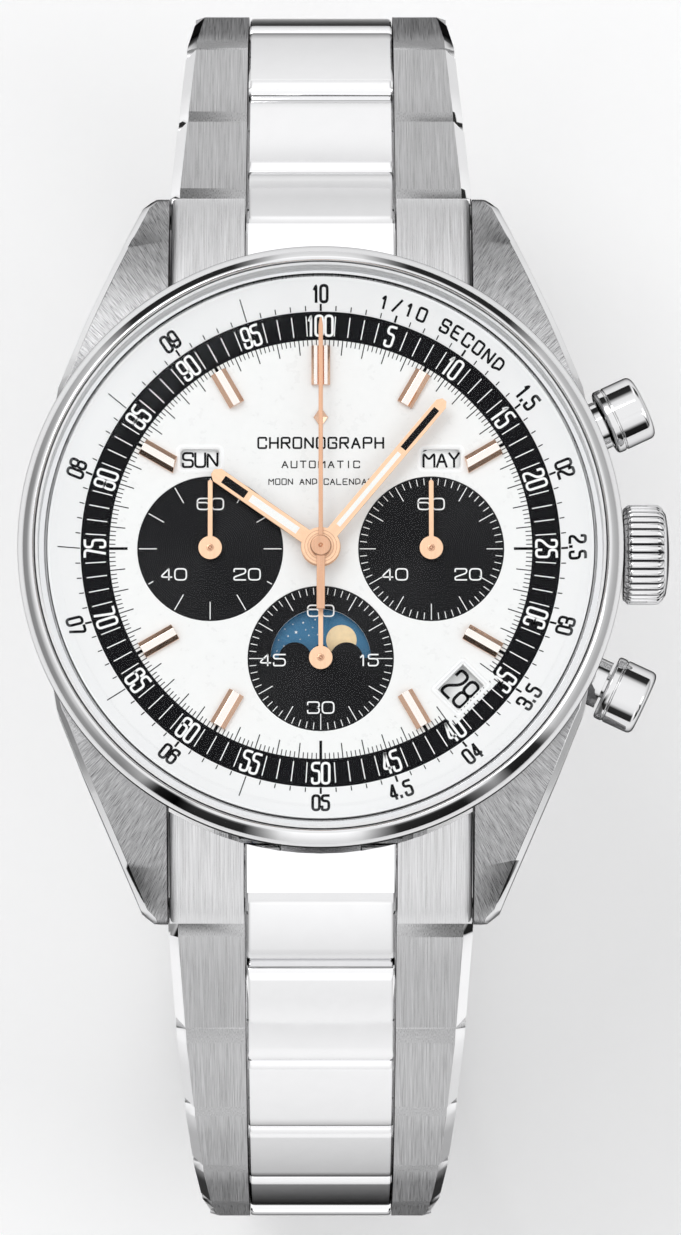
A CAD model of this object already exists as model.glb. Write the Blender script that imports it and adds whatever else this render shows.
"""Looks for the chronograph wristwatch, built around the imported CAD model. Lengths are in millimetres
until a mesh is made, and every piece keeps the CAD's frame: +Z out of the dial, +Y to 12 o'clock."""
import math

import bpy
import bmesh
from mathutils import Matrix, Vector


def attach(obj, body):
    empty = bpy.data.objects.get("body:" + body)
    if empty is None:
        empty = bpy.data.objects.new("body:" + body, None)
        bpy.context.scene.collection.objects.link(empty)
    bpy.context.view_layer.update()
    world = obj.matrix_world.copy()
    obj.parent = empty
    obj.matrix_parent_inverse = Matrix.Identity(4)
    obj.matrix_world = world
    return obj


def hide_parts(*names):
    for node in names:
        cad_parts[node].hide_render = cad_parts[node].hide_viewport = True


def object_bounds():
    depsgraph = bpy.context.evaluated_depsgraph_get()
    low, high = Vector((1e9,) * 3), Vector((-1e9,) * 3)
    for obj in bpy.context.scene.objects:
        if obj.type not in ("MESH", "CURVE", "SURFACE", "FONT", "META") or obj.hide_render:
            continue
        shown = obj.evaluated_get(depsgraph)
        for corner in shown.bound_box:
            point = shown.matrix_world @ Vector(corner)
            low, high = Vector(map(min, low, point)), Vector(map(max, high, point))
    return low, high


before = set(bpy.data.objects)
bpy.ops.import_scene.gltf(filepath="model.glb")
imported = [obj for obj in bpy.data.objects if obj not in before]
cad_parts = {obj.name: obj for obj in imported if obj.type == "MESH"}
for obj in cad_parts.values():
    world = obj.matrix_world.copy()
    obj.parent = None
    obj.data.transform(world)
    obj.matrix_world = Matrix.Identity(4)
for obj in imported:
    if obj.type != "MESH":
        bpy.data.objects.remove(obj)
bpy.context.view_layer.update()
scene = bpy.context.scene
MM = 0.001

# ------------------------------------------------------------------ sizes shared with the CAD
STEM_Z = 5.4
DIAL_TOP = 8.3
SUB_FLOOR = DIAL_TOP - 0.12
SUBDIAL_R = 4.6
SUB_LEFT, SUB_RIGHT, SUB_LOW = (-6.95, 0.0), (6.95, 0.0), (0.0, -6.95)
PITCH = 8.2
LINK_R = 1.35
CENTRE_HALF = 4.7
PIVOT_0 = (22.8, 2.2)
SLOPES = {1: [42, 44, 66, 89, 106, 124, 142, 160], -1: [41, 59, 67, 77, 87, 114, 140, 164]}
END_SLOPE = 36
PUSHER_ANGLE = 25
RING_IN, RING_OUT = 13.3, 15.1
HOLLOW_R = 1.45
CASE_SEAT_R = 19.04
BEZEL_R = 19.0
SCALE_IN, SCALE_OUT = 15.1, 17.0
SCALE_LOW, SCALE_RISE = 8.45, 1.1
DATE_AT = 12.42


def row_width(k):
    """The bracelet's width at row k: 19.3 at the case, narrowing over five rows."""
    return 19.3 - 4.3 * min(k, 5) / 5


def pivot(side, k):
    """Where the hinge of row k lies, as (y, z). side is 1 above the case and -1 below it."""
    y, z = PIVOT_0
    for a in SLOPES[side][:k]:
        along_row, down = polar(PITCH, a)
        y += along_row
        z -= down
    return y, z


# ------------------------------------------------------------------ mesh helpers
class Shape:
    """Collects faces, each with a material index."""

    def __init__(self):
        self.verts, self.faces, self.marks = [], [], []

    def add(self, verts, faces, mark=0):
        base = len(self.verts)
        self.verts += [tuple(v) for v in verts]
        self.faces += [tuple(i + base for i in f) for f in faces]
        self.marks += [mark] * len(faces) if isinstance(mark, int) else list(mark)
        return self

    def join(self, other):
        return self.add(other.verts, other.faces, other.marks)

    def loft(self, sections, mark=0, strip_marks=None):
        """Skins a row of equal outlines and caps both ends."""
        n = len(sections[0])
        verts = [p for s in sections for p in s]
        faces, marks = [], []
        for j in range(len(sections) - 1):
            for i in range(n):
                k = (i + 1) % n
                faces.append((j * n + i, j * n + k, (j + 1) * n + k, (j + 1) * n + i))
                marks.append(strip_marks(j, i) if strip_marks else mark)
        faces.append(tuple(reversed(range(n))))
        faces.append(tuple(range((len(sections) - 1) * n, len(sections) * n)))
        marks += [mark, mark]
        return self.add(verts, faces, marks)

    def lathe(self, profile, n=192, mark=0):
        """Turns a closed outline of (r, z) about Z. Points on the axis become one vertex."""
        verts, rings = [], []
        for r, z in profile:
            if r < 1e-6:
                rings.append([len(verts)] * n)
                verts.append((0, 0, z))
            else:
                rings.append(list(range(len(verts), len(verts) + n)))
                verts += [(x, y, z) for x, y in circle(r, n)]
        faces = []
        for j in range(len(profile)):
            a, b = rings[j], rings[(j + 1) % len(profile)]
            if profile[j][0] < 1e-6 and profile[(j + 1) % len(profile)][0] < 1e-6:
                continue
            for i in range(n):
                k = (i + 1) % n
                f = []
                for v in (a[i], a[k], b[k], b[i]):
                    if v not in f:
                        f.append(v)
                faces.append(tuple(f))
        return self.add(verts, faces, mark)

    def prism(self, outline, z0, z1, mark=0):
        return self.loft([[(x, y, z0) for x, y in outline], [(x, y, z1) for x, y in outline]], mark)

    def moved(self, matrix):
        self.verts = [tuple(matrix @ Vector(v)) for v in self.verts]
        return self


def piece(name, shape, materials, body, replaces=(), at=None, bevel=0.0, sharp=35):
    """Makes one visual piece of a Shape, in metres. bevel rounds each edge sharper than sharp degrees."""
    mesh = bpy.data.meshes.new(name)
    mesh.from_pydata([tuple(c * MM for c in v) for v in shape.verts], [], shape.faces)
    for m in materials:
        mesh.materials.append(m)
    mesh.polygons.foreach_set("material_index", shape.marks)
    mesh.polygons.foreach_set("use_smooth", [True] * len(mesh.polygons))
    bm = bmesh.new()
    bm.from_mesh(mesh)
    bmesh.ops.remove_doubles(bm, verts=bm.verts, dist=1e-8)
    bmesh.ops.recalc_face_normals(bm, faces=bm.faces)
    bm.to_mesh(mesh)
    bm.free()
    mesh.set_sharp_from_angle(angle=math.radians(sharp))
    obj = bpy.data.objects.new(name, mesh)
    scene.collection.objects.link(obj)
    if at is not None:
        obj.matrix_world = at
    if bevel:
        mod = obj.modifiers.new("Edges", "BEVEL")
        mod.width = bevel * MM
        mod.segments = 2
        mod.limit_method = "ANGLE"
        mod.angle_limit = math.radians(sharp)
        mod.harden_normals = True
    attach(obj, body)
    if replaces:
        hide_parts(*replaces)


def polar(r, degrees):
    return r * math.cos(math.radians(degrees)), r * math.sin(math.radians(degrees))


def circle(r, n):
    return [(r * math.cos(2 * math.pi * i / n), r * math.sin(2 * math.pi * i / n)) for i in range(n)]


def arc(cx, cy, r, a0, a1, n):
    """n + 1 points of a circle, from the angle a0 to a1 in degrees."""
    out = []
    for i in range(n + 1):
        a = math.radians(a0 + (a1 - a0) * i / n)
        out.append((cx + r * math.cos(a), cy + r * math.sin(a)))
    return out


def curve(a, b, c, n=10):
    """A quadratic Bezier curve's points."""
    out = []
    for i in range(n + 1):
        t = i / n
        out.append(tuple(a[k] * (1 - t) ** 2 + b[k] * 2 * t * (1 - t) + c[k] * t * t for k in (0, 1)))
    return out


def along(points, x):
    """The second coordinate of a line of points, at x in the first."""
    if x <= points[0][0]:
        return points[0][1]
    for (x0, y0), (x1, y1) in zip(points, points[1:]):
        if x <= x1:
            return y0 + (y1 - y0) * (x - x0) / (x1 - x0)
    return points[-1][1]


def place(x=0, y=0, z=0, turn=0.0, tilt=0.0, lean=0.0):
    """A matrix in metres: lean about X, tilt about Y, turn about Z, then the move."""
    m = Matrix.Translation((x * MM, y * MM, z * MM))
    m = m @ Matrix.Rotation(math.radians(turn), 4, "Z") @ Matrix.Rotation(math.radians(tilt), 4, "Y")
    return m @ Matrix.Rotation(math.radians(lean), 4, "X")


# ------------------------------------------------------------------ materials
def new_material(name, colour, metallic, rough):
    m = bpy.data.materials.new(name)
    m.use_nodes = True
    shader = m.node_tree.nodes["Principled BSDF"]
    shader.inputs["Base Color"].default_value = (*colour, 1)
    shader.inputs["Metallic"].default_value = metallic
    shader.inputs["Roughness"].default_value = rough
    return m, m.node_tree, shader


def add(nt, kind, inputs=None, **props):
    n = nt.nodes.new(kind)
    for key, value in props.items():
        setattr(n, key, value)
    for key, value in (inputs or {}).items():
        if isinstance(value, bpy.types.NodeSocket):
            nt.links.new(value, n.inputs[key])
        else:
            n.inputs[key].default_value = value
    return n


def position_in(nt):
    return add(nt, "ShaderNodeTexCoord").outputs["Object"]


def math_node(nt, operation, a, b=0.0):
    return add(nt, "ShaderNodeMath", {0: a, 1: b}, operation=operation).outputs[0]


def lifted(nt, shader, height, strength, distance=0.00002):
    """Joins a height to the shader's normal."""
    bump = add(nt, "ShaderNodeBump", {"Height": height, "Strength": strength, "Distance": distance})
    nt.links.new(bump.outputs[0], shader.inputs["Normal"])


def toned(nt, shader, share, dark, light):
    """Joins a blend of two colours to the shader's base colour."""
    mix = add(nt, "ShaderNodeMix", {"Factor": share, 6: (*dark, 1), 7: (*light, 1)}, data_type="RGBA")
    nt.links.new(mix.outputs[2], shader.inputs["Base Color"])


def pattern(nt, kind, fine, long):
    """A stretched noise from 0 to 1. fine and long are cells per metre across and along the grain."""
    position = position_in(nt)
    scales = {"along": (fine, long, fine), "sloping": (fine, long, long), "grain": (fine, fine, fine)}
    if kind in scales:
        vector = add(nt, "ShaderNodeMapping", {"Vector": position, "Scale": scales[kind]}).outputs[0]
    else:
        split = add(nt, "ShaderNodeSeparateXYZ", {0: position})
        x, y, z = (split.outputs[i] for i in range(3))
        angle = math_node(nt, "ARCTAN2", y, x)
        xx = math_node(nt, "MULTIPLY", x, x)
        radius = math_node(nt, "SQRT", add(nt, "ShaderNodeMath", {0: y, 1: y, 2: xx},
                                           operation="MULTIPLY_ADD").outputs[0])
        if kind == "radial":
            parts = (math_node(nt, "MULTIPLY", angle, fine * 0.018), math_node(nt, "MULTIPLY", radius, long))
        else:
            parts = (math_node(nt, "MULTIPLY", angle, long * 0.018), math_node(nt, "MULTIPLY", radius, fine))
        vector = add(nt, "ShaderNodeCombineXYZ", {0: parts[0], 1: parts[1],
                                                  2: math_node(nt, "MULTIPLY", z, long)}).outputs[0]
    return add(nt, "ShaderNodeTexNoise", {"Vector": vector, "Scale": 1.0, "Detail": 2.5,
                                          "Roughness": 0.6}).outputs[0]


def ranged(nt, value, low, high, source=(0.3, 0.7)):
    return add(nt, "ShaderNodeMapRange", {0: value, 1: source[0], 2: source[1], 3: low, 4: high}).outputs[0]


def metal(name, colour, rough, kind="grain", fine=9000, long=140, spread=0.06, bump=0.1, tone=0.08,
          metallic=1.0, edge=None):
    """A metal with a grain: roughness, tone and bump all follow one stretched noise.
    edge is how much it reflects at a grazing angle."""
    m, nt, shader = new_material(name, colour, metallic, rough)
    if edge is not None:
        shader.inputs["Specular Tint"].default_value = (edge, edge, edge, 1)
    grain = pattern(nt, kind, fine, long)
    nt.links.new(ranged(nt, grain, max(rough - spread, 0.02), rough + spread), shader.inputs["Roughness"])
    if tone:
        dark = [c * (1 - tone) for c in colour]
        light = [min(c * (1 + tone), 1) for c in colour]
        toned(nt, shader, ranged(nt, grain, 0, 1), dark, light)
    if bump:
        lifted(nt, shader, grain, bump)
    return m


BRUSHED = metal("steel_brushed_along", (0.56, 0.56, 0.565), 0.30, "along", 26000, 260, 0.05, 0.25, 0.28,
                edge=0.1)
SLOPING = metal("steel_brushed_end", (0.70, 0.70, 0.705), 0.30, "sloping", 26000, 260, 0.05, 0.25, 0.28,
                edge=0.1)
RADIAL = metal("steel_brushed_radial", (0.40, 0.40, 0.405), 0.30, "radial", 42000, 1100, 0.05, 0.6, 0.62,
               edge=0.1)
POLISHED = metal("steel_polished", (0.82, 0.82, 0.825), 0.05, "grain", 700, 700, 0.02, 0.01, 0.01, edge=0.0)
TURNED = metal("steel_turned", (0.66, 0.66, 0.67), 0.2, "circular", 9000, 30, 0.05, 0.15, 0.06)
BRIGHT = metal("steel_mirror", (0.97, 0.97, 0.975), 0.05, "grain", 700, 700, 0.02, 0.01, 0.01, edge=0.0)
GROOVE = metal("steel_groove", (0.09, 0.09, 0.095), 0.3, "grain", 3000, 3000, 0.05, 0.05, 0.1)
PIN_STEEL = metal("steel_pin", (0.5, 0.5, 0.51), 0.2, "grain", 3000, 3000, 0.05, 0.05, 0.05)
ROSE = metal("rose_gold_polished", (0.86, 0.56, 0.40), 0.12, "grain", 2500, 2500, 0.03, 0.02, 0.03)
ROSE_CREST = metal("rose_gold_crest", (1.0, 0.93, 0.87), 0.1, "grain", 2500, 2500, 0.03, 0.01, 0.01)
ROSE_HAND = metal("rose_gold_satin", (0.90, 0.59, 0.39), 0.32, "along", 9000, 400, 0.04, 0.05, 0.04)
ROSE_DARK = metal("rose_gold_brushed", (0.68, 0.40, 0.26), 0.36, "along", 11000, 300, 0.05, 0.12, 0.08)
GILT = metal("brass_gilt", (0.86, 0.64, 0.28), 0.22, "circular", 6000, 60, 0.05, 0.1, 0.06)
BLUED = metal("steel_blued", (0.03, 0.07, 0.36), 0.2, "grain", 2500, 2500, 0.05, 0.03, 0.2)
GRAINED = metal("plate_grained", (0.62, 0.62, 0.63), 0.38, "grain", 6000, 6000, 0.06, 0.25, 0.08)
TRAIN = metal("steel_train", (0.64, 0.64, 0.66), 0.22, "circular", 7000, 60, 0.05, 0.1, 0.05)


def coated(name, colour, rough, fine, tone, bump, coat=0.0, spec=0.5):
    """Paint, print or plastic: a plain colour with a faint grain."""
    m = metal(name, colour, rough, "grain", fine, fine, 0.04, bump, tone, metallic=0.0)
    shader = m.node_tree.nodes["Principled BSDF"]
    shader.inputs["Coat Weight"].default_value = coat
    shader.inputs["Specular IOR Level"].default_value = spec
    shader.inputs["Coat Roughness"].default_value = 0.05
    return m


DIAL_WHITE = coated("dial_lacquer", (0.9, 0.9, 0.885), 0.3, 1500, 0.012, 0.0, 0.25)
SCALE_WHITE = coated("scale_lacquer", (0.96, 0.96, 0.955), 0.35, 2200, 0.003, 0.0, 0.1)
RING_BLACK = coated("ring_black", (0.003, 0.003, 0.004), 0.3, 4000, 0.2, 0.0, spec=0.06)
INK_BLACK = coated("ink_black", (0.006, 0.006, 0.007), 0.5, 5000, 0.2, 0.0, spec=0.08)
INK_WHITE = coated("ink_white", (0.92, 0.92, 0.91), 0.5, 5000, 0.02, 0.0)
LUME = coated("lume_white", (0.93, 0.93, 0.9), 0.65, 14000, 0.05, 0.25)
GASKET = coated("gasket_white", (0.75, 0.75, 0.75), 0.45, 3000, 0.04, 0.05)
DISC_WHITE = coated("disc_white", (0.97, 0.97, 0.96), 0.5, 3000, 0.01, 0.0)
MOON = coated("moon_cream", (0.94, 0.72, 0.42), 0.35, 3500, 0.05, 0.05, 0.3)
RUBY = coated("ruby", (0.5, 0.004, 0.05), 0.08, 1500, 0.25, 0.0, 0.6)
FLOOR = coated("floor_paper", (0.975, 0.975, 0.975), 0.8, 900, 0.004, 0.0, spec=0.1)


def sunk_black():
    """Black sub-dial with fine concentric grooves that give it a sunray sheen."""
    groove = 0.00012
    m, nt, shader = new_material("subdial_azure", (0.004, 0.004, 0.005), 0.0, 0.3)
    position = position_in(nt)
    radius = add(nt, "ShaderNodeVectorMath", {0: position}, operation="LENGTH").outputs["Value"]
    wave = math_node(nt, "SINE", math_node(nt, "MULTIPLY", radius, 2 * math.pi / groove))
    lifted(nt, shader, wave, 0.2, 0.000008)
    toned(nt, shader, ranged(nt, wave, 0, 1, (-1, 1)), (0.002, 0.002, 0.003), (0.005, 0.005, 0.006))
    tangent = add(nt, "ShaderNodeTangent", direction_type="RADIAL", axis="Z")
    nt.links.new(tangent.outputs[0], shader.inputs["Tangent"])
    shader.inputs["Anisotropic"].default_value = 0.85
    shader.inputs["Specular IOR Level"].default_value = 0.14
    return m


def night_sky():
    """Blue moon disc with fine rays from its centre."""
    m, nt, shader = new_material("moon_sky", (0.02, 0.13, 0.27), 0.2, 0.3)
    rays = pattern(nt, "radial", 5200, 60)
    toned(nt, shader, ranged(nt, rays, 0, 1), (0.012, 0.1, 0.22), (0.05, 0.22, 0.38))
    lifted(nt, shader, rays, 0.3)
    return m


def sapphire(name, clear, edge):
    """Coated crystal: it lets everything through and mirrors more of the room at a grazing angle."""
    m, nt, shader = new_material(name, (0.94, 0.97, 1.0), 1.0, 0.02)
    facing = add(nt, "ShaderNodeLayerWeight", {"Blend": 0.5}).outputs["Facing"]
    share = ranged(nt, math_node(nt, "POWER", facing, 3.0), clear, edge, (0, 1))
    nt.links.new(ranged(nt, pattern(nt, "grain", 150, 150), 0.01, 0.03), shader.inputs["Roughness"])
    through = add(nt, "ShaderNodeBsdfTransparent", {0: (0.995, 0.998, 1.0, 1)})
    mix = add(nt, "ShaderNodeMixShader", {0: share, 1: through.outputs[0], 2: shader.outputs[0]})
    nt.links.new(mix.outputs[0], nt.nodes["Material Output"].inputs["Surface"])
    return m


def stripes(name, colour, turn):
    """Straight Geneva stripes: rounded bands of fine cross grain."""
    pitch = 0.0021
    m, nt, shader = new_material(name, colour, 1.0, 0.26)
    position = position_in(nt)
    turned = add(nt, "ShaderNodeMapping", {"Vector": position,
                                           "Rotation": (0, 0, math.radians(turn))}).outputs[0]
    x = add(nt, "ShaderNodeSeparateXYZ", {0: turned}).outputs[0]
    band = math_node(nt, "PINGPONG", x, pitch / 2)
    band = math_node(nt, "MULTIPLY", band, 2 / pitch)
    stretched = add(nt, "ShaderNodeMapping", {"Vector": turned, "Scale": (400, 9000, 900)}).outputs[0]
    fine = add(nt, "ShaderNodeTexNoise", {"Vector": stretched, "Scale": 1.0, "Detail": 2.0}).outputs[0]
    height = add(nt, "ShaderNodeMath", {0: fine, 1: 0.06, 2: band}, operation="MULTIPLY_ADD").outputs[0]
    lifted(nt, shader, height, 0.6, 0.00006)
    toned(nt, shader, band, [c * 0.82 for c in colour], colour)
    nt.links.new(ranged(nt, fine, 0.2, 0.32), shader.inputs["Roughness"])
    return m


def perlage(name, colour):
    """A plate covered with small overlapping turned rings."""
    m, nt, shader = new_material(name, colour, 1.0, 0.3)
    position = position_in(nt)
    cells = add(nt, "ShaderNodeTexVoronoi", {"Vector": position, "Scale": 900.0, "Randomness": 0.12})
    rings = math_node(nt, "SINE", math_node(nt, "MULTIPLY", cells.outputs["Distance"], 46.0))
    lifted(nt, shader, rings, 0.25)
    nt.links.new(ranged(nt, rings, 0.24, 0.36, (-1, 1)), shader.inputs["Roughness"])
    toned(nt, shader, ranged(nt, cells.outputs["Distance"], 0, 1, (0, 0.6)), colour,
          [c * 0.86 for c in colour])
    return m


SUNK_BLACK = sunk_black()
SKY = night_sky()
CRYSTAL = sapphire("sapphire_front", 0.003, 0.15)
BACK_CRYSTAL = sapphire("sapphire_back", 0.02, 0.5)
BRIDGE_STRIPES = stripes("bridges_striped", (0.66, 0.66, 0.67), 30)
ROTOR_STRIPES = stripes("rotor_striped", (0.72, 0.71, 0.69), -20)
PERLAGE = perlage("plate_perlage", (0.62, 0.62, 0.63))

# CAD nodes that keep their own shape
KEPT = {
    "crystal_gasket": GASKET, "dial": DIAL_WHITE, "case_back": TURNED, "back_crystal": BACK_CRYSTAL,
    "case_tubes": POLISHED, "movement_ring": GRAINED, "main_plate": PERLAGE, "bridges": BRIDGE_STRIPES,
    "bridge_screws": BLUED, "jewels": RUBY, "winding_rotor": ROTOR_STRIPES, "mainspring_barrel": GILT,
    "escape_wheel": TRAIN, "pallet_fork": TRAIN, "balance_wheel": GILT, "hairspring": BLUED,
    "column_wheel": TRAIN, "setting_lever": TRAIN, "date_ring": DISC_WHITE, "day_disc": DISC_WHITE,
    "month_disc": DISC_WHITE, "clasp_cover": BRUSHED, "clasp_long_blade": POLISHED,
    "clasp_short_blade": POLISHED, "clasp_button_left": POLISHED, "clasp_button_right": POLISHED,
}
for name, material in KEPT.items():
    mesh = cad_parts[name].data
    mesh.materials.clear()
    mesh.materials.append(material)

# ------------------------------------------------------------------ case
LUG_TOP = [(3, 8.97), (12, 8.95)] + curve((12.2, 8.9), (18.6, 8.1), (22.3, 4.75), 14)
LUG_TOP += [(22.95, 4.1), (23.2, 3.5)]
LUG_LOW = [(3, 2.4), (12, 2.4), (21.6, 0.5), (22.6, 0.9), (23.2, 2.3)]
LUG_OUT = [(3, 18.2), (4.4, 17.97), (7.2, 17.05), (9, 16.75), (10.2, 16.55), (14.3, 14.9), (21.6, 11.7),
           (22.45, 11.35), (23.2, 10.53)]
LUG_IN = [(3, 17.45), (4.4, 17.0), (8, 15.4), (11.5, 13.1), (14.6, 9.65), (23.2, 9.65)]


def lug(sx, sy):
    """One lug: a polished bevel runs down its outer edge, and its top is brushed from the dial's centre."""
    ys = [3, 4.4, 6, 7.2, 8.2, 9, 10.2, 11, 12] + [12.5 + i * 0.5 for i in range(20)]
    ys += [22.45, 22.7, 22.95, 23.08, 23.2]
    sections = []
    for y in ys:
        top, low, out, inner = (along(line, y) for line in (LUG_TOP, LUG_LOW, LUG_OUT, LUG_IN))
        chamfer = 0.42 * min(1, max(0.15, (y - 6) / 5)) * min(1, (top - low) / 2.5)
        drop = chamfer * 0.85
        section = [(inner, low), (inner, top), (out - chamfer, top), (out, top - drop), (out, low + 0.35),
                   (out - 0.35, low)]
        sections.append([(sx * x, sy * y, z) for x, z in section])
    return Shape().loft(sections, 0, lambda j, i: {2: 1, 3: 2}.get(i, 0))


case = Shape().lathe([(16.4, 2.2), (17.4, 2.2), (17.55, 2.45), (18.3, 4.6), (18.42, 5.6), (18.5, 7.2),
                      (18.5, 8.95), (17.2, 8.95), (17.2, 8.0), (16.4, 8.0)], 192, 2)
for sx in (1, -1):
    for sy in (1, -1):
        case.join(lug(sx, sy))
piece("case_middle", case, [RADIAL, POLISHED, BRUSHED], "case", ["mid_case"], bevel=0.06)

bezel_outline = [(17.35, 9.0), (18.82, 9.0), (BEZEL_R, 9.18), (BEZEL_R, 10.02)]
bezel_outline += curve((18.98, 10.1), (18.7, 10.52), (18.2, 10.84), 16)
bezel_outline += [(18.08, 10.87), (18.0, 10.8), (17.93, 10.62), (17.9, 9.6), (17.35, 9.6)]
piece("bezel_ring", Shape().lathe(bezel_outline, 256), [POLISHED], "case", ["bezel"],
      bevel=0.03, sharp=40)

RIM_Z = 11.9
crystal_outline = [(16.75, 9.63), (17.66, 9.63), (17.68, 9.68), (17.68, RIM_Z - 0.05), (17.64, RIM_Z),
                   (17.22, RIM_Z + 0.43)]
crystal_outline += curve((17.1, RIM_Z + 0.5), (9, RIM_Z + 1.5), (0, RIM_Z + 1.5), 24)
crystal_outline += curve((0, RIM_Z + 0.1), (9, RIM_Z + 0.1), (16.4, RIM_Z - 0.9), 24)
piece("crystal_dome", Shape().lathe(crystal_outline, 256), [CRYSTAL], "case", ["crystal"],
      sharp=25)

flange = [(15.1, 8.3), (17.15, 8.3), (17.15, 9.55), (17.0, 9.55), (15.1, 8.45)]
piece("scale_ring", Shape().lathe(flange, 256), [SCALE_WHITE], "case", ["flange_ring"],
      sharp=20)


# ------------------------------------------------------------------ bracelet
def row_matrix(side, at, slope):
    m = Matrix.Identity(4) if side > 0 else Matrix.Rotation(math.pi, 4, "Z")
    return m @ place(0, at[0], at[1], lean=-slope)


SIDE_BEVEL = 0.62


def outer_link(shape, side_x, k, open_end):
    """One outer link, in the row's own frame: brushed, with a polished bevel along its outer top edge."""
    r = LINK_R - 0.02
    w0, w1 = row_width(k) / 2, row_width(k + 1) / 2
    outline = [polar(r, a) for a in range(-90, -236, -12)] + [(0.5, r)]
    if open_end:
        outline += [(PITCH - 2.1, r), (PITCH - 2.1, -r)]
    else:
        a = math.degrees(math.asin(r / HOLLOW_R))
        outline += [(3, r), (5.5, r)] + arc(PITCH, 0, HOLLOW_R, 180 - a, 180 + a, 12) + [(5.5, -r), (3, -r)]

    def half(y):
        return w0 + (w1 - w0) * min(max(y, 0), PITCH) / PITCH

    def section(f, inset, low_top):
        out = []
        for y, z in outline:
            if low_top and z > 0.85:
                z = 0.85 + 0.1 * (z - 0.85)
                y = y + 0.12 if y < 0.6 else y
            if low_top and z < -1.1:
                z = -1.1
            if low_top and not open_end and y > PITCH - 1.5:
                y = min(y, PITCH - math.sqrt(HOLLOW_R ** 2 - z * z))
            out.append((side_x * (f if inset is None else half(y) - inset), y, z))
        return out

    sections = [section(CENTRE_HALF + 0.09, None, False), section(0, SIDE_BEVEL, False),
                section(0, 0.0, True)]

    def mark(j, i):
        z = (outline[i][1] + outline[(i + 1) % len(outline)][1]) / 2
        y = (outline[i][0] + outline[(i + 1) % len(outline)][0]) / 2
        return 1 if j == 1 and z > 1.0 and y < PITCH - 0.5 else 0

    shape.loft(sections, 0, mark)
    # Heads of the link screw and of the hinge pin, flush with the side
    for y, radius in ((PITCH - 3.2, 0.42), (0.0, 0.36)):
        x = half(y)
        ring = [(y + p, q) for p, q in circle(radius, 20)]
        shape.loft([[(side_x * (x + d), p, q) for p, q in ring] for d in (-0.2, 0.012)], 2)


def centre_link(shape, near, lean, at_y):
    """A polished centre link round its hinge, leaning a little, with a double lip towards the case."""
    low, top = -LINK_R - 0.35, LINK_R - 0.30

    def crown(y):
        mid, reach = (2.2 - near) / 2, (2.2 + near) / 2
        return top - 0.10 * ((y - mid) / reach) ** 2

    outline = [(-near + 0.2, low), (-near, low + 0.25), (-near, top - 0.52), (-near + 0.1, top - 0.33),
               (-near + 0.32, top - 0.2)]
    outline += [(-near + 0.42, top - 0.17), (-near + 0.62, crown(-near + 0.62))]
    steps = 8
    for i in range(steps + 1):
        y = (-near + 0.9) + (2.1 + near - 0.9) * i / steps
        outline.append((y, crown(y)))
    nose_r = 2.6
    a0 = math.degrees(math.asin((top - 0.22) / nose_r))
    a1 = math.degrees(math.asin(low / nose_r))
    outline += arc(0, 0, nose_r, a0, a1, 8)
    lean_m = Matrix.Translation((0, at_y, 0)) @ Matrix.Rotation(math.radians(-lean), 4, "X")
    part = Shape()
    half = CENTRE_HALF
    sections = []
    for x, sink in ((-half, 0.12), (-half + 0.12, 0.02), (-half + 0.3, 0.0), (half - 0.3, 0.0),
                    (half - 0.12, 0.02), (half, 0.12)):
        sections.append([(x, y, z - sink if z > 0 else z + sink * 0.5) for y, z in outline])
    part.loft(sections, 1)
    part.moved(lean_m)
    shape.join(part)


for side, word in ((1, "upper"), (-1, "lower")):
    slopes = SLOPES[side]
    for k in range(8):
        shape = Shape()
        open_end = side < 0 and k == 7
        for sx in (1, -1):
            outer_link(shape, sx, k, open_end)
        following = slopes[k + 1] if k < 7 else 180
        centre_link(shape, 5.35, (following - slopes[k]) / 3, PITCH)
        node = f"{word}_link_{k + 1}"
        piece(f"{word}_row_{k + 1}", shape, [BRUSHED, BRIGHT, PIN_STEEL], node, [node],
              at=row_matrix(side, pivot(side, k), slopes[k]), bevel=0.045, sharp=30)

END_TOP = curve((14, 7.9), (19.3, 6.46), (23.22, 3.57), 24)


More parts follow.
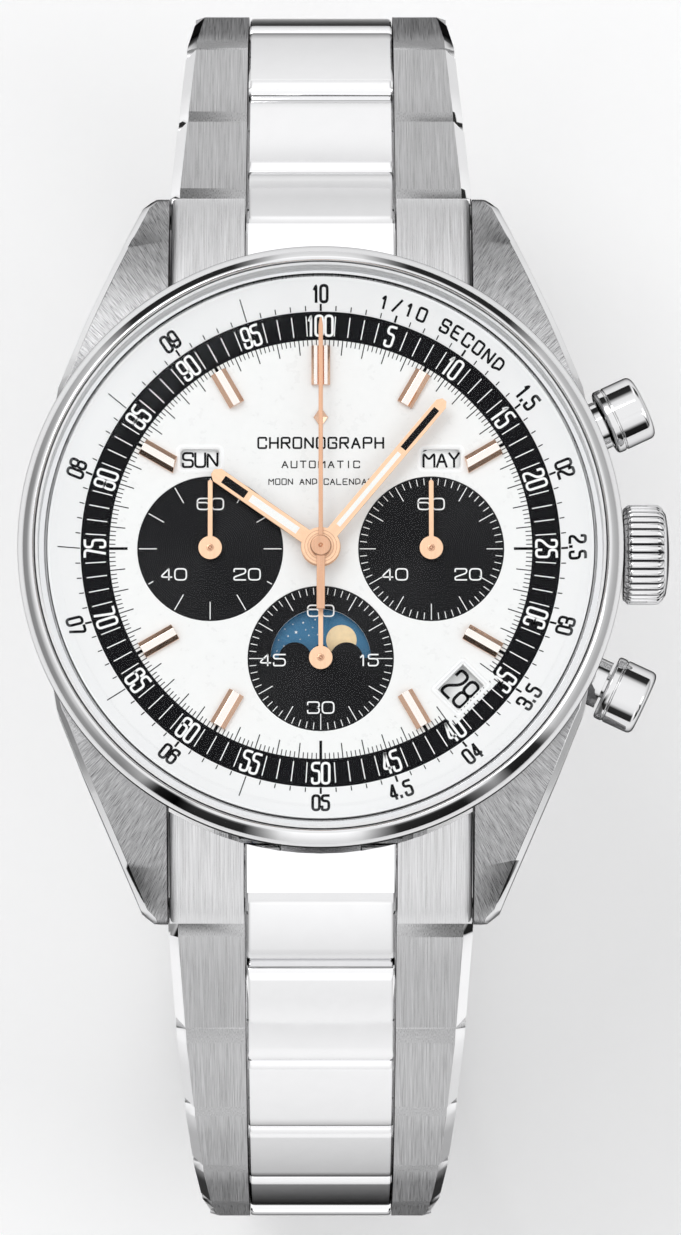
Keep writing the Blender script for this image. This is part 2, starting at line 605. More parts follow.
def end_link(side):
    shape = Shape()
    first = SLOPES[side][0]
    slope = END_SLOPE + (first - END_SLOPE) / 3

    def start(x):
        return math.sqrt(CASE_SEAT_R ** 2 - x * x)

    # Brushed outer parts, hollowed for the first row's noses
    for sx in (1, -1):
        sections = []
        xs = [4.84, 5.2, 6.2, 7.2, 8.2, 9.0, 9.3, 9.45, 9.54]
        for x in xs:
            y0 = start(x)
            drop = {9.45: 0.06, 9.54: 0.2}.get(x, 0.0)
            points = [(y0 + (23.16 - y0) * i / 9, along(END_TOP, y0 + (23.16 - y0) * i / 9) - drop)
                      for i in range(10)]
            points += arc(*PIVOT_0, HOLLOW_R, 72, 232, 12)
            points += [(21.3, 0.95), (y0 + 0.1, 2.7 - 0.15 * (y0 - 16))]
            sections.append([(sx * x, y, z) for y, z in points])
        shape.loft(sections, 0)
    # Polished centre part, up to the first centre link
    s, c = math.sin(math.radians(slope)), math.cos(math.radians(slope))
    reach = 2.78
    ends = [(PIVOT_0[0] - reach * c + w * s, PIVOT_0[1] + reach * s + w * c) for w in (1.32, 0.4, -0.5, -1.2)]
    sections = []
    for x in (-4.74, -4.64, -4, -2.7, -1.4, 0, 1.4, 2.7, 4, 4.64, 4.74):
        y0 = start(x)
        rise = 0.03 if abs(x) < 4.7 else -0.04
        y1 = ends[0][0]
        points = [(y0 + (y1 - y0) * i / 6, along(END_TOP, y0 + (y1 - y0) * i / 6) + rise) for i in range(7)]
        points += ends[1:] + [(19.15, 2.5)]
        sections.append([(x, y, z) for y, z in points])
    shape.loft(sections, 3)
    turn = Matrix.Identity(4) if side > 0 else Matrix.Rotation(math.pi, 4, "Z")
    link = Shape()
    centre_link(link, 2.6, 0, 0)
    lean = Matrix.Rotation(math.radians(-slope), 4, "X")
    link.moved(Matrix.Translation((0, *PIVOT_0)) @ lean)
    shape.join(link)
    return shape.moved(turn)


ends = end_link(1).join(end_link(-1))
piece("end_pieces", ends, [SLOPING, POLISHED, PIN_STEEL, BRIGHT], "case", ["end_links"],
      bevel=0.05, sharp=30)


# ------------------------------------------------------------------ crown and pushers
def fluted(n, radius, depth, x):
    """A ring with n flutes, eight points to each."""
    out = []
    for i in range(n * 8):
        a = 2 * math.pi * i / (n * 8)
        wave = 0.5 + 0.5 * math.cos(n * a)
        r = radius - depth * (1 - wave ** 0.5)
        out.append((r * math.cos(a), r * math.sin(a), x))
    return out


crown = Shape()
FLUTES = 36
# Rings of the crown as (radius, depth of the flutes, place along the stem); the valleys are marked 1
crown_rings = [(2.82, 0.02, 19.1), (2.92, 0.05, 19.16), (3.14, 0.2, 19.42), (3.15, 0.2, 19.7),
               (3.15, 0.2, 21.2), (3.12, 0.2, 21.36), (2.9, 0.06, 21.6), (2.8, 0.0, 21.66)]
crown.loft([fluted(FLUTES, *ring) for ring in crown_rings], 0,
           lambda j, i: 1 if i % 8 in (3, 4) and 1 < j < 6 else 0)
crown_end = [(0, 21.5), (2.72, 21.5), (2.72, 21.7), (2.6, 21.8)]
crown.lathe(crown_end + curve((2.5, 21.82), (1.6, 22.04), (0, 22.05), 8), 96, 0)
crown.lathe([(0.9, 17.0), (0.9, 19.2), (0, 19.2), (0, 17.0)], 48, 0)
piece("crown_cap", crown, [POLISHED, GROOVE], "crown", ["crown"],
      at=place(0, 0, STEM_Z, tilt=90), bevel=0.03, sharp=40)

for name, angle in (("pusher_start", PUSHER_ANGLE), ("pusher_reset", -PUSHER_ANGLE)):
    profile = [(0.8, 16.8), (0.8, 21.0), (1.62, 21.0), (1.62, 19.95), (1.68, 19.9), (1.98, 19.9),
               (2.08, 19.98), (2.1, 20.1), (2.1, 20.42), (2.04, 20.46), (2.04, 20.54), (2.1, 20.58),
               (2.1, 22.05)]
    profile += curve((2.1, 22.15), (2.08, 22.5), (1.7, 22.55), 8)
    profile += curve((1.6, 22.56), (0.9, 22.6), (0, 22.6), 5) + [(0, 16.8)]
    cap = Shape().lathe(profile, 128, 0)
    piece(name + "_cap", cap, [POLISHED], name, [name],
          at=place(0, 0, STEM_Z, turn=angle, tilt=90), bevel=0.02, sharp=50)

# ------------------------------------------------------------------ lettering
# Each stroke is a row of points, two digits to a point, on a grid 4 wide and 8 high
GLYPHS = {
    "0": ["0008484000"], "1": ["062820"], "2": ["06084845020040"], "3": ["0608484414", "1444400002"],
    "4": ["380242", "3830"], "5": ["48080545400002"], "6": ["46480800404505"], "7": ["084820"],
    "8": ["0408484404", "0444400004"], "9": ["02004048080343"], "A": ["002840", "1333"],
    "B": ["0008384434", "0444400004"],
    "C": ["464808004042"], "D": ["00083846423200"], "E": ["48080040", "0434"], "F": ["480800", "0434"],
    "G": ["46480800404424"], "H": ["0008", "0444", "4840"], "I": ["2820"], "J": ["48400002"], "L": ["080040"],
    "M": ["0008244840"], "N": ["00084048"], "O": ["0008484000"], "P": ["0008484404"],
    "R": ["0008484404", "2440"],
    "S": ["4648080444400002"], "T": ["0848", "2820"], "U": ["08004048"], "V": ["082048"],
    "W": ["0810243048"], "Y": ["082448", "2420"], "/": ["0048"], ".": ["1011"], " ": [],
}
NARROW = {"1": 2.2, "I": 2.6, ".": 2.2, "/": 3.4, " ": 3.0, "M": 4.4, "W": 4.6}


def rounded(points, radius, closed):
    """Replaces each corner by a short curve."""
    out = []
    n = len(points)
    for i, p in enumerate(points):
        if not closed and i in (0, n - 1):
            out.append(p)
            continue
        p = Vector(p)
        before, after = Vector(points[i - 1]) - p, Vector(points[(i + 1) % n]) - p
        cut = min(radius, before.length * 0.48, after.length * 0.48)
        a, b = p + before.normalized() * cut, p + after.normalized() * cut
        for t in (0, 0.25, 0.5, 0.75, 1):
            q = a * (1 - t) ** 2 + p * 2 * t * (1 - t) + b * t * t
            out.append((q.x, q.y))
    return out


INK_SINK, INK_THICK = 0.006, 0.012


def ribbon(shape, points, half, closed, to_3d, mark=0):
    """A flat stroke of constant width, lifted by to_3d, with a little thickness."""
    n = len(points)
    left, right = [], []
    for i in range(n):
        p = Vector(points[i])
        before = p - Vector(points[i - 1]) if closed or i > 0 else None
        after = Vector(points[(i + 1) % n]) - p if closed or i < n - 1 else None
        d0 = before.normalized() if before is not None else after.normalized()
        d1 = after.normalized() if after is not None else d0
        mean = d0 + d1
        mean = mean.normalized() if mean.length > 1e-6 else d0
        normal = Vector((-mean.y, mean.x))
        stretch = half / max(0.5, normal.dot(Vector((-d1.y, d1.x))))
        end = Vector((0, 0))
        if not closed and i == 0:
            end = -d1 * half * 0.6
        if not closed and i == n - 1:
            end = d0 * half * 0.6
        left.append(p + normal * stretch + end)
        right.append(p - normal * stretch + end)
    verts = []
    for line in (left, right):
        for lift in (0.0, INK_THICK):
            for q in line:
                x, y, z = to_3d(q.x, q.y)
                verts.append((x, y, z - INK_SINK + lift))
    lb, lt, rb, rt = 0, n, 2 * n, 3 * n
    faces = []
    for i in range(n if closed else n - 1):
        k = (i + 1) % n
        faces += [(lt + i, rt + i, rt + k, lt + k), (lb + i, lb + k, rb + k, rb + i),
                  (lb + i, lt + i, lt + k, lb + k), (rb + i, rb + k, rt + k, rt + i)]
    if not closed:
        for i in (0, n - 1):
            faces.append((lb + i, rb + i, rt + i, lt + i))
    shape.add(verts, faces, mark)


def word(shape, text, size, width, half, to_3d, gap=1.6, corner=1.3, mark=0):
    """Draws text centred on the origin of to_3d's plane. size is the letters' height, and width the width of
    a letter that is 4 units wide."""
    sx, sy = width / 4, size / 8
    total = sum(NARROW.get(c, 4) for c in text) + gap * (len(text) - 1)
    x = -total / 2
    for c in text:
        cell = NARROW.get(c, 4)
        for stroke in GLYPHS[c]:
            points = [((x + int(stroke[i]) * cell / 4) * sx, (int(stroke[i + 1]) - 4) * sy)
                      for i in range(0, len(stroke), 2)]
            closed = points[0] == points[-1] and len(points) > 2
            if closed:
                points = points[:-1]
            ribbon(shape, rounded(points, corner * min(sx, sy) * 1.2, closed), half, closed, to_3d, mark=mark)
        x += cell + gap


def flat(cx, cy, z, turn=0.0):
    """A level plane round (cx, cy) at the height z, turned by turn degrees."""
    c, s = polar(1, turn)
    return lambda u, v: (cx + u * c - v * s, cy + u * s + v * c, z)


def on_ring(angle, radius, surface, flip=False, centre=(0.0, 0.0)):
    """Text or ticks round the dial. angle is clockwise from 12; flip stands them on their heads."""
    a = math.radians(90 - angle)
    c, s = polar(1, -angle + (180 if flip else 0))

    def to_3d(u, v):
        x = radius * math.cos(a) + u * c - v * s
        y = radius * math.sin(a) + u * s + v * c
        return centre[0] + x, centre[1] + y, surface(math.hypot(x, y))

    return to_3d


def tick(shape, angle, r0, r1, half, surface, centre=(0.0, 0.0)):
    ribbon(shape, [(0, r0), (0, r1)], half, False, on_ring(angle, 0.0, surface, centre=centre))


def level(z):
    return lambda r: z


def slope_of_scale(r):
    """The sloped ring's surface at the radius r, where its printing lies."""
    share = (min(max(r, SCALE_IN), SCALE_OUT) - SCALE_IN) / (SCALE_OUT - SCALE_IN)
    return SCALE_LOW + share * SCALE_RISE + 0.012


# ------------------------------------------------------------------ dial
# Black ring with a notch for the date
ring = Shape()
outline_in, outline_out = [], []
NOTCH = 13.86
n = 360
for i in range(n):
    a = i - 45.0
    off = abs(((a + 45 + 180) % 360) - 180)
    r_in = RING_IN
    if off < 8.5:
        r_in = NOTCH / math.cos(math.radians(off))
    outline_in.append(polar(r_in, a))
    outline_out.append(polar(RING_OUT, a))
verts = [(x, y, z) for z in (DIAL_TOP - 0.01, DIAL_TOP + 0.02) for x, y in outline_in + outline_out]
faces = []
for i in range(n):
    k = (i + 1) % n
    faces += [(i, k, n + k, n + i), (2 * n + i, 3 * n + i, 3 * n + k, 2 * n + k),
              (i, 2 * n + i, 2 * n + k, k), (n + i, n + k, 3 * n + k, 3 * n + i)]
ring.add(verts, faces)
piece("numeral_ring", ring, [RING_BLACK], "case")

black, white, scale = Shape(), Shape(), Shape()
on_dial = level(DIAL_TOP + 0.006)
on_black = level(DIAL_TOP + 0.026)
for i in range(300):
    a = i * 1.2
    off = abs(((a - 135 + 180) % 360) - 180)
    if off < 8.2:
        inner = NOTCH / math.cos(math.radians(off))
        tick(black, a, inner - 0.42, inner - 0.02, 0.035, on_dial)
    elif i % 5 == 0:
        tick(black, a, RING_IN - 0.92, RING_IN, 0.032, on_dial)
    else:
        tick(black, a, RING_IN - 0.36, RING_IN, 0.028, on_dial)
for a in (90, 180, 270):
    tick(black, a, RING_IN - 1.1, RING_IN, 0.085, on_dial)
for a in (30, 60, 120, 150, 210, 240, 300, 330):
    tick(black, a, RING_IN - 0.3, RING_IN, 0.1, on_dial)
for i in range(100):
    if i % 5:
        tick(white, i * 3.6, RING_IN + 0.26, RING_OUT - 0.3, 0.032, on_black)
for i in range(1, 21):
    a = i * 18
    flip = 95 < a < 265
    word(white, str(i * 5), 1.28, 0.45, 0.078, on_ring(a, (RING_IN + RING_OUT) / 2, on_black, flip), 1.5, 1.6)
# Scale of tenths on the sloped ring
for i in range(100):
    a = i * 3.6
    big = i % 5 == 0
    long_line = i in (55, 65, 75, 85, 95)
    tick(scale, a, 15.16, 16.5 if long_line else (15.5 if big else 15.42),
         0.065 if big and not long_line else 0.032, slope_of_scale)
SCALE_MARKS = [(0, "10"), (54, "1.5"), (72, "02"), (90, "2.5"), (108, "03"), (126, "3.5"), (144, "04"),
               (162, "4.5"), (180, "05"), (216, "06"), (252, "07"), (288, "08"), (324, "09")]
for a, text in SCALE_MARKS:
    word(scale, text, 0.96, 0.42, 0.085, on_ring(a, 16.13, slope_of_scale, 95 < a < 265), 1.6, 1.6)
legend = "1/10 SECOND"
for i, c in enumerate(legend):
    word(scale, c, 0.74, 0.5, 0.072, on_ring(14.5 + i * 2.95, 16.1, slope_of_scale), 1.5, 1.2)
# Generic words in place of a maker's
for text, height, width, half, y, gap in (("CHRONOGRAPH", 0.66, 0.5, 0.06, 6.72, 1.9),
                                          ("AUTOMATIC", 0.42, 0.36, 0.036, 5.35, 2.4),
                                          ("MOON AND CALENDAR", 0.36, 0.27, 0.03, 4.25, 1.9)):
    word(black, text, height, width, half, flat(0, y, DIAL_TOP + 0.006), gap, 1.0)
piece("print_dial", black, [INK_BLACK], "case", sharp=60)
piece("print_scale", scale, [INK_BLACK], "case", sharp=60)

# Sub-dials: black plates with their own centre, so the grooves run round it
MOON_OUT = 3.15


def moon_opening():
    """The aperture's outline round the low sub-dial's centre, as the CAD cuts it."""
    out = arc(0, 0, MOON_OUT, 2, 178, 40)
    left = [(x - 1.62, y) for x, y in arc(0, 0, 1.03, 180, 25, 14)]
    right = [(x + 1.62, y) for x, y in arc(0, 0, 1.03, 155, 0, 14)]
    return [(x, max(y, 0.02)) for x, y in out] + left + [(-0.14, 0.9), (0.14, 0.9)] + right


def holed_disc(radius, hole, z0, z1, n=128):
    """A disc with one hole, as a filled 2-D curve would be: triangulated, then thickened."""
    bm = bmesh.new()
    loops = []
    for points in (circle(radius, n), hole):
        vs = [bm.verts.new((x, y, z1)) for x, y in points]
        loops += [bm.edges.new((vs[i], vs[(i + 1) % len(vs)])) for i in range(len(vs))]
    bmesh.ops.triangle_fill(bm, edges=loops, use_beauty=True, use_dissolve=False)
    top = list(bm.faces)
    made = bmesh.ops.extrude_face_region(bm, geom=top)["geom"]
    for v in made:
        if isinstance(v, bmesh.types.BMVert):
            v.co.z = z0
    bm.verts.index_update()
    # The fill gives the same faces in a new order each time, so they are sorted, each from its lowest vertex
    faces = [tuple(v.index for v in f.verts) for f in bm.faces]
    faces = sorted(f[f.index(min(f)):] + f[:f.index(min(f))] for f in faces)
    shape = Shape().add([tuple(v.co) for v in bm.verts], faces)
    bm.free()
    return shape


for name, centre in (("left", SUB_LEFT), ("right", SUB_RIGHT), ("low", SUB_LOW)):
    if name == "low":
        plate = holed_disc(SUBDIAL_R - 0.01, moon_opening(), -0.01, 0.012)
    else:
        plate = Shape().lathe([(0.36, -0.01), (SUBDIAL_R - 0.01, -0.01), (SUBDIAL_R - 0.01, 0.012),
                               (0.36, 0.012)], 160)
    piece("subdial_" + name, plate, [SUNK_BLACK], "case",
          at=place(*centre, SUB_FLOOR))
    surface = level(SUB_FLOOR + 0.018)
    for i in range(60):
        a = i * 6
        if name == "left":
            if i % 5 == 0:
                tick(white, a, SUBDIAL_R - (0.45 if a in (120, 240) else 1.22), SUBDIAL_R - 0.14, 0.03,
                     surface, centre)
        elif i % 5 == 0:
            tick(white, a, SUBDIAL_R - 1.1, SUBDIAL_R - 0.12, 0.027, surface, centre)
        else:
            tick(white, a, SUBDIAL_R - 0.52, SUBDIAL_R - 0.12, 0.024, surface, centre)
    z = SUB_FLOOR + 0.018
    if name == "low":
        words = (("60", 0, 3.02, 0.72), ("15", 3.05, -0.1, 0.6), ("45", -3.05, -0.1, 0.72),
                 ("30", 0, -3.1, 0.72))
    else:
        words = (("60", 0, 2.85, 0.72), ("20", 2.32, -1.62, 0.72), ("40", -2.32, -1.62, 0.72))
    for text, dx, dy, width in words:
        word(white, text, 0.7, width, 0.045, flat(centre[0] + dx, centre[1] + dy, z), 1.1, 2.2)
piece("print_white", white, [INK_WHITE], "case", sharp=60)

# Bevelled white frames round the day, month and date windows
frames = Shape()


def window_frame(cx, cy, w, h, turn, edge, rise, corner):
    """A bevelled frame round a window w by h, edge wide and rise high, with rounded corners."""

    def loop(grow, z):
        out = []
        for sx, sy, a0 in ((1, 1, 0), (-1, 1, 90), (-1, -1, 180), (1, -1, 270)):
            r = corner + grow * 0.5
            ox, oy = sx * (w / 2 + grow - r), sy * (h / 2 + grow - r)
            out += arc(ox, oy, r, a0, a0 + 90, 5)
        m = flat(cx, cy, z, turn)
        return [m(x, y) for x, y in out]

    loops = [loop(0.0, DIAL_TOP - 0.38), loop(0.0, DIAL_TOP - 0.12),
             loop(edge * 0.55, DIAL_TOP + rise * 0.6), loop(edge * 0.7, DIAL_TOP + rise),
             loop(edge, DIAL_TOP + rise), loop(edge + 0.08, DIAL_TOP + rise * 0.3),
             loop(edge + 0.12, DIAL_TOP - 0.05)]
    n = len(loops[0])
    verts = [p for l in loops for p in l]
    faces = []
    for j in range(len(loops)):
        k = (j + 1) % len(loops)
        for i in range(n):
            m = (i + 1) % n
            faces.append((j * n + i, j * n + m, k * n + m, k * n + i))
    frames.add(verts, faces)


window_frame(-7.6, 5.72, 2.46, 1.21, 0, 0.2, 0.03, 0.28)
window_frame(7.57, 5.72, 2.46, 1.21, 0, 0.2, 0.03, 0.28)
date_c = DATE_AT / math.sqrt(2)
window_frame(date_c, -date_c, 1.86, 2.24, -45, 0.28, 0.07, 0.05)
piece("window_frames", frames, [SCALE_WHITE], "case", sharp=30)

# Faces of the calendar discs, with their printing, which turn with them
CALENDAR_FACE = 7.82
for body, cx, start, texts in (("day_disc", -4.6, 180, ["SUN", "MON", "TUE", "WED", "THU", "FRI", "SAT"]),
                               ("month_disc", 4.6, 0, ["MAY", "JUN", "JUL", "AUG", "SEP", "OCT", "NOV",
                                                       "DEC", "JAN", "FEB", "MAR", "APR"])):
    face = Shape().lathe([(0.9, 7.49), (4.35, 7.49), (4.38, CALENDAR_FACE - 0.03), (4.35, CALENDAR_FACE),
                          (0.9, CALENDAR_FACE)], 128)
    for i, text in enumerate(texts):
        a = start + i * 360 / len(texts)
        m = flat(*polar(3.0, a), CALENDAR_FACE + 0.006, a - start)
        word(face, text, 0.88, 0.62, 0.068, m, 1.0, 1.5, mark=1)
    piece(body.replace("_disc", "_print"), face, [DISC_WHITE, INK_BLACK], body,
          at=place(cx, 5.7, 0), sharp=50)
dates = Shape().lathe([(10.95, 7.04), (14.2, 7.04), (14.2, 7.26), (10.95, 7.26)], 192)
for i in range(31):
    a = -45 + i * 360 / 31
    m = flat(*polar(DATE_AT, a), 7.268, a)
    word(dates, str((27 + i) % 31 + 1), 1.86, 0.68, 0.095, m, 1.6, 1.9, mark=1)
piece("date_print", dates, [DISC_WHITE, INK_BLACK], "date_ring", sharp=50)

# Moon disc: sky with stars and two moons
SKY_Z = 7.3
sky = Shape().lathe([(0.6, 7.3), (3.35, 7.3), (3.35, 7.5), (0.6, 7.5)], 128)
for s in (1, -1):
    moon = Shape().lathe([(0, 7.49), (0.96, 7.49), (0.96, 7.52), (0.88, 7.53), (0, 7.53)], 64, 1)
    moon.moved(Matrix.Translation((s * 1.3, s * 1.25, 0)))
    sky.join(moon)
# Stars as (x, y, size)
stars = [(-2.3, 0.85, 0.09), (-1.55, 1.75, 0.12), (-2.05, 1.5, 0.07), (-1.1, 2.35, 0.08),
         (-0.75, 1.55, 0.06), (-0.35, 2.55, 0.07), (-1.75, 2.25, 0.05), (-2.65, 1.25, 0.05),
         (-0.95, 1.9, 0.05), (-1.3, 1.3, 0.05), (-0.5, 2.05, 0.05), (-2.25, 1.95, 0.05),
         (-2.75, 0.55, 0.06), (-0.2, 1.6, 0.05), (-0.6, 2.8, 0.05)]
for s in (1, -1):
    for x, y, r in stars:
        points = []
        for i in range(10):
            a = math.radians(90 + i * 36)
            q = r if i % 2 == 0 else r * 0.42
            points.append((s * x + q * math.cos(a), s * y + q * math.sin(a)))
        sky.prism(points, 7.49, 7.515, 2)
sky.verts = [(x, y, z - SKY_Z) for x, y, z in sky.verts]
piece("moon_sky", sky, [SKY, MOON, INK_WHITE], "moon_disc", ["moon_disc"],
      at=place(*SUB_LOW, SKY_Z))

# ------------------------------------------------------------------ applied markers
markers = Shape()


def marker(angle, r0, r1, w, cut=0.0):
    """A bar with a flat crest between two slopes. cut hollows its inner end beside a window."""
    crest, low, high = 0.22 * w, DIAL_TOP + 0.24, DIAL_TOP + 0.46
    section = [(-w / 2, DIAL_TOP - 0.02), (-w / 2, low), (-crest, high), (crest, high), (w / 2, low),
               (w / 2, DIAL_TOP - 0.02)]
    m = flat(0, 0, 0, 90 - angle)

    def end(x):
        if not cut:
            return r0
        off = (x - math.copysign(w * 0.35, cut)) / (w * 0.7)
        return r0 + abs(cut) * max(0.0, 1 - off ** 2)

    sections = []
    for near in (True, False):
        points = []
        for x, z in section:
            r = end(x) if near else r1
            px, py, _ = m(r, -x)
            points.append((px, py, z))
        sections.append(points)
    markers.loft(sections, 0, lambda j, i: 1 if i == 2 else 0)


for a in (30, 120, 150, 210, 240, 330):
    marker(a, 10.55, 12.95, 1.04)
marker(60, 10.45, 12.95, 1.04, -0.3)
marker(300, 10.45, 12.95, 1.04, 0.3)
for x in (-0.32, 0.32):
    part = Shape()
    w = 0.54
    section = [(-w / 2, 8.28), (-w / 2, 8.54), (-w * 0.2, 8.72), (w * 0.2, 8.72), (w / 2, 8.54),
               (w / 2, 8.28)]
    part.loft([[(x + u, r, z) for u, z in section] for r in (10.4, 12.9)], 0, lambda j, i: 1 if i == 2 else 0)
    markers.join(part)
lozenge = Shape()
rim = [(0.46, 0.0), (0, 0.66), (-0.46, 0.0), (0, -0.66)]
LOZENGE_Y = 8.35
lozenge.add([(x, LOZENGE_Y + y, z) for z in (8.28, 8.42) for x, y in rim] + [(0, LOZENGE_Y, 8.62)],
            [(3, 2, 1, 0)] + [(i, (i + 1) % 4, 4 + (i + 1) % 4, 4 + i) for i in range(4)]
            + [(4 + i, 4 + (i + 1) % 4, 8) for i in range(4)])
markers.join(lozenge)
piece("applied_markers", markers, [ROSE, ROSE_CREST], "case", ["hour_markers"], bevel=0.02,
      sharp=20)


# ------------------------------------------------------------------ hands
def hand_outline(length, w, hub, tip, n=40):
    """A baton w wide with a blunt tip, on a round hub."""
    a = math.degrees(math.asin(w / 2 / hub))
    blade = [(w / 2, length - tip), (w * 0.2, length), (-w * 0.2, length), (-w / 2, length - tip)]
    return blade + arc(0, 0, hub, 90 + a, 450 - a, n)


def boxed(shape, x0, x1, y0, y1, z0, z1, mark):
    shape.prism([(x0, y0), (x1, y0), (x1, y1), (x0, y1)], z0, z1, mark)


HAND_T = 0.15
hour = Shape().prism(hand_outline(8.3, 0.95, 1.25, 0.36), 0, HAND_T, 0)
boxed(hour, -0.27, 0.27, 5.72, 7.48, 0.1, HAND_T + 0.008, 1)
boxed(hour, -0.25, 0.25, 1.75, 5.4, 0.1, HAND_T + 0.008, 2)
hour.lathe([(0.73, -2.6), (0.94, -2.6), (0.94, 0.02), (0.73, 0.02)], 48, 0)
piece("hour_baton", hour, [ROSE_HAND, INK_BLACK, LUME], "hour_hand", ["hour_hand"],
      at=place(0, 0, 9.05, turn=55), bevel=0.03, sharp=40)

minute = Shape().prism(hand_outline(12.1, 0.8, 1.2, 0.32), 0, HAND_T, 0)
boxed(minute, -0.2, 0.2, 8.05, 11.35, 0.1, HAND_T + 0.008, 1)
boxed(minute, -0.15, 0.15, 1.7, 7.7, 0.1, HAND_T + 0.008, 2)
for r0, r1 in ((0.98, 1.03), (0.78, 0.84)):
    minute.lathe([(r, HAND_T + z) for r, z in ((r0, -0.01), (r1, -0.01), (r1, 0.006), (r0, 0.006))], 64, 3)
minute.lathe([(0.43, -4.0), (0.65, -4.0), (0.65, 0.02), (0.43, 0.02)], 48, 0)
piece("minute_baton", minute, [ROSE_HAND, INK_BLACK, LUME, ROSE_DARK], "minute_hand",
      ["minute_hand"], at=place(0, 0, 9.4, turn=-40), bevel=0.03, sharp=40)

chrono = Shape().prism(hand_outline(14.5, 0.28, 0.66, 0.5, 32), 0, HAND_T, 0)
boxed(chrono, -0.26, 0.26, -4.0, -0.4, 0, HAND_T, 0)
chrono.lathe([(0, -4.6), (0.35, -4.6), (0.35, 0.1), (0.66, 0.1), (0.66, 0.2), (0.6, 0.26), (0.14, 0.26),
              (0.12, 0.22), (0.08, 0.22), (0.06, 0.3), (0, 0.3)], 64, 0)
piece("chrono_needle", chrono, [ROSE_DARK], "chrono_hand", ["chrono_hand"],
      at=place(0, 0, 9.75), bevel=0.02, sharp=40)

for node, centre in (("running_seconds_hand", SUB_LEFT), ("counter_seconds_hand", SUB_RIGHT),
                     ("counter_minutes_hand", SUB_LOW)):
    hand = Shape().prism(hand_outline(4.3, 0.3, 0.74, 0.1, 36), 0, HAND_T, 0)
    hand.lathe([(0, -3.3), (0.24, -3.3), (0.24, 0.16), (0.13, 0.18), (0.12, 0.15), (0.08, 0.15),
                (0.07, 0.2), (0, 0.2)], 32, 1)
    piece(node.replace("_hand", "_needle"), hand, [ROSE_HAND, ROSE_DARK], node, [node],
          at=place(*centre, 8.65), bevel=0.02, sharp=40)

# ------------------------------------------------------------------ stage, light and camera
FLOOR_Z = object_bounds()[0][2]
mesh = bpy.data.meshes.new("floor")
reach = 2.5
mesh.from_pydata([(-reach, -reach, 0), (reach, -reach, 0), (reach, reach, 0), (-reach, reach, 0)], [],
                 [(0, 1, 2, 3)])
mesh.materials.append(FLOOR)
floor = bpy.data.objects.new("floor", mesh)
floor.location.z = FLOOR_Z - 0.00002
scene.collection.objects.link(floor)

world = bpy.data.worlds.new("studio")
world.use_nodes = True
scene.world = world
nt = world.node_tree
background = nt.nodes["Background"]
direction = add(nt, "ShaderNodeTexCoord").outputs["Generated"]
height = add(nt, "ShaderNodeSeparateXYZ", {0: direction}).outputs[2]
ramp = add(nt, "ShaderNodeValToRGB", {0: ranged(nt, height, 0, 1, (-1, 1))})
stops = [(0.0, 0.5), (0.49, 0.6), (0.52, 0.55), (0.60, 0.62), (0.70, 0.75), (0.82, 0.92), (0.93, 1.03),
         (1.0, 1.03)]
elements = ramp.color_ramp.elements
while len(elements) < len(stops):
    elements.new(0.5)
for element, (position, value) in zip(elements, stops):
    element.position = position
    element.color = (value, value, value * 1.005, 1)
split = add(nt, "ShaderNodeSeparateXYZ", {0: direction})
azimuth = math_node(nt, "ARCTAN2", split.outputs[1], split.outputs[0])
light_left = ramp.outputs[0]
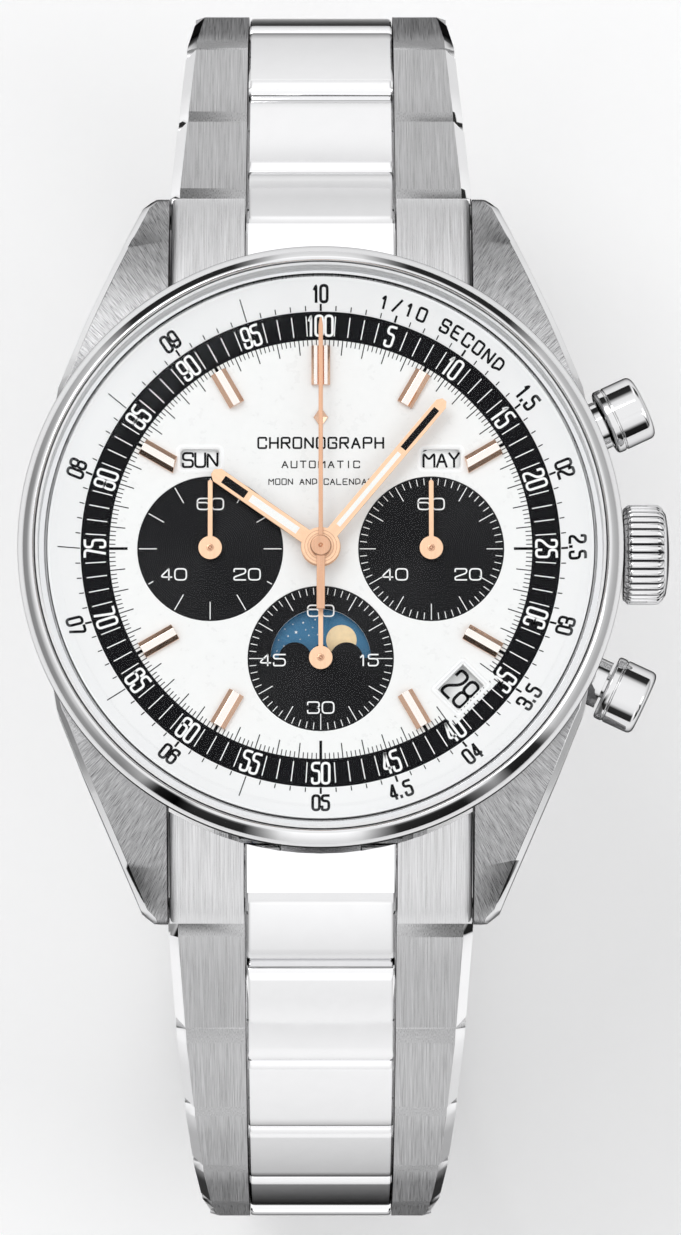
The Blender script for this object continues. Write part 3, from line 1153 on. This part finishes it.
# Cards round the stage, as (azimuth, half width, softness, lowest, highest, darkness), in degrees and
# sines of elevation. Two of them are bright strips, with a darkness below 0.
CARDS = [
    (-41, 6.5, 2.5, 0.02, 0.8, 0.97), (-56, 11, 8, 0.02, 0.45, 0.5), (-125.5, 4.5, 2.0, 0.02, 0.8, 0.97),
    (-138, 9, 8, 0.02, 0.5, 0.5), (0, 34, 14, 0.02, 0.3, 0.15), (115, 14, 4, -0.03, 0.55, 0.96),
    (-65, 12, 4, -0.03, 0.5, 0.96), (65, 14, 4, -0.03, 0.55, 0.96), (-115, 12, 4, -0.03, 0.5, 0.96),
    (180, 34, 14, 0.02, 0.3, 0.5), (-90, 10, 4, -0.05, 0.65, -0.55), (90, 9, 4, -0.05, 0.65, -0.5),
]
for turn, half, soft, low, high, dark in CARDS:
    off = math_node(nt, "WRAP", math_node(nt, "SUBTRACT", azimuth, math.radians(turn)), math.pi)
    off.node.inputs[2].default_value = -math.pi
    across = math_node(nt, "ABSOLUTE", off)
    inside = ranged(nt, across, 1, 0, (math.radians(half - soft), math.radians(half + soft)))
    above = ranged(nt, height, 0, 1, (low - 0.02, low + 0.02))
    below = ranged(nt, height, 1, 0, (high * 0.8, high * 1.2))
    mask = math_node(nt, "MULTIPLY", math_node(nt, "MULTIPLY", inside, above), below)
    keep = math_node(nt, "SUBTRACT", 1.0, math_node(nt, "MULTIPLY", mask, dark))
    light_left = add(nt, "ShaderNodeVectorMath", {0: light_left, "Scale": keep}, operation="SCALE").outputs[0]
nt.links.new(light_left, background.inputs[0])
background.inputs[1].default_value = 1.0


def softbox(name, at, watts):
    """A square area light of 0.4 m, aimed at the middle of the watch."""
    light = bpy.data.lights.new(name, "AREA")
    light.shape = "RECTANGLE"
    light.size = 0.4
    light.size_y = light.size
    light.energy = watts
    obj = bpy.data.objects.new(name, light)
    obj.location = at
    obj.rotation_euler = (Vector((0, 0, -0.01)) - Vector(at)).to_track_quat("-Z", "Y").to_euler()
    scene.collection.objects.link(obj)


softbox("key", (-0.3, 0.4, 0.8), 1.9)
softbox("fill", (0.5, -0.2, 0.6), 0.5)

SENSOR = 36
CAMERA_DISTANCE = 0.450
CAMERA_TILT = math.radians(7.8)
# The height in metres that the picture spans at the dial, and its shift as parts of that height
FRAME_HEIGHT = 0.07767
FRAME_SHIFT = (0.016, -0.0558)
dial_centre = Vector((0, 0, DIAL_TOP * MM))
camera_data = bpy.data.cameras.new("camera")
camera = bpy.data.objects.new("camera", camera_data)
camera.location = dial_centre + CAMERA_DISTANCE * Vector((0, -math.sin(CAMERA_TILT), math.cos(CAMERA_TILT)))
camera.rotation_euler = (dial_centre - camera.location).to_track_quat("-Z", "Y").to_euler()
camera_data.sensor_width = SENSOR
camera_data.lens = SENSOR * CAMERA_DISTANCE / FRAME_HEIGHT
camera_data.shift_x, camera_data.shift_y = FRAME_SHIFT
camera_data.clip_start = 0.01
camera_data.clip_end = 20
scene.collection.objects.link(camera)
scene.camera = camera
scene.view_settings.view_transform = "Standard"
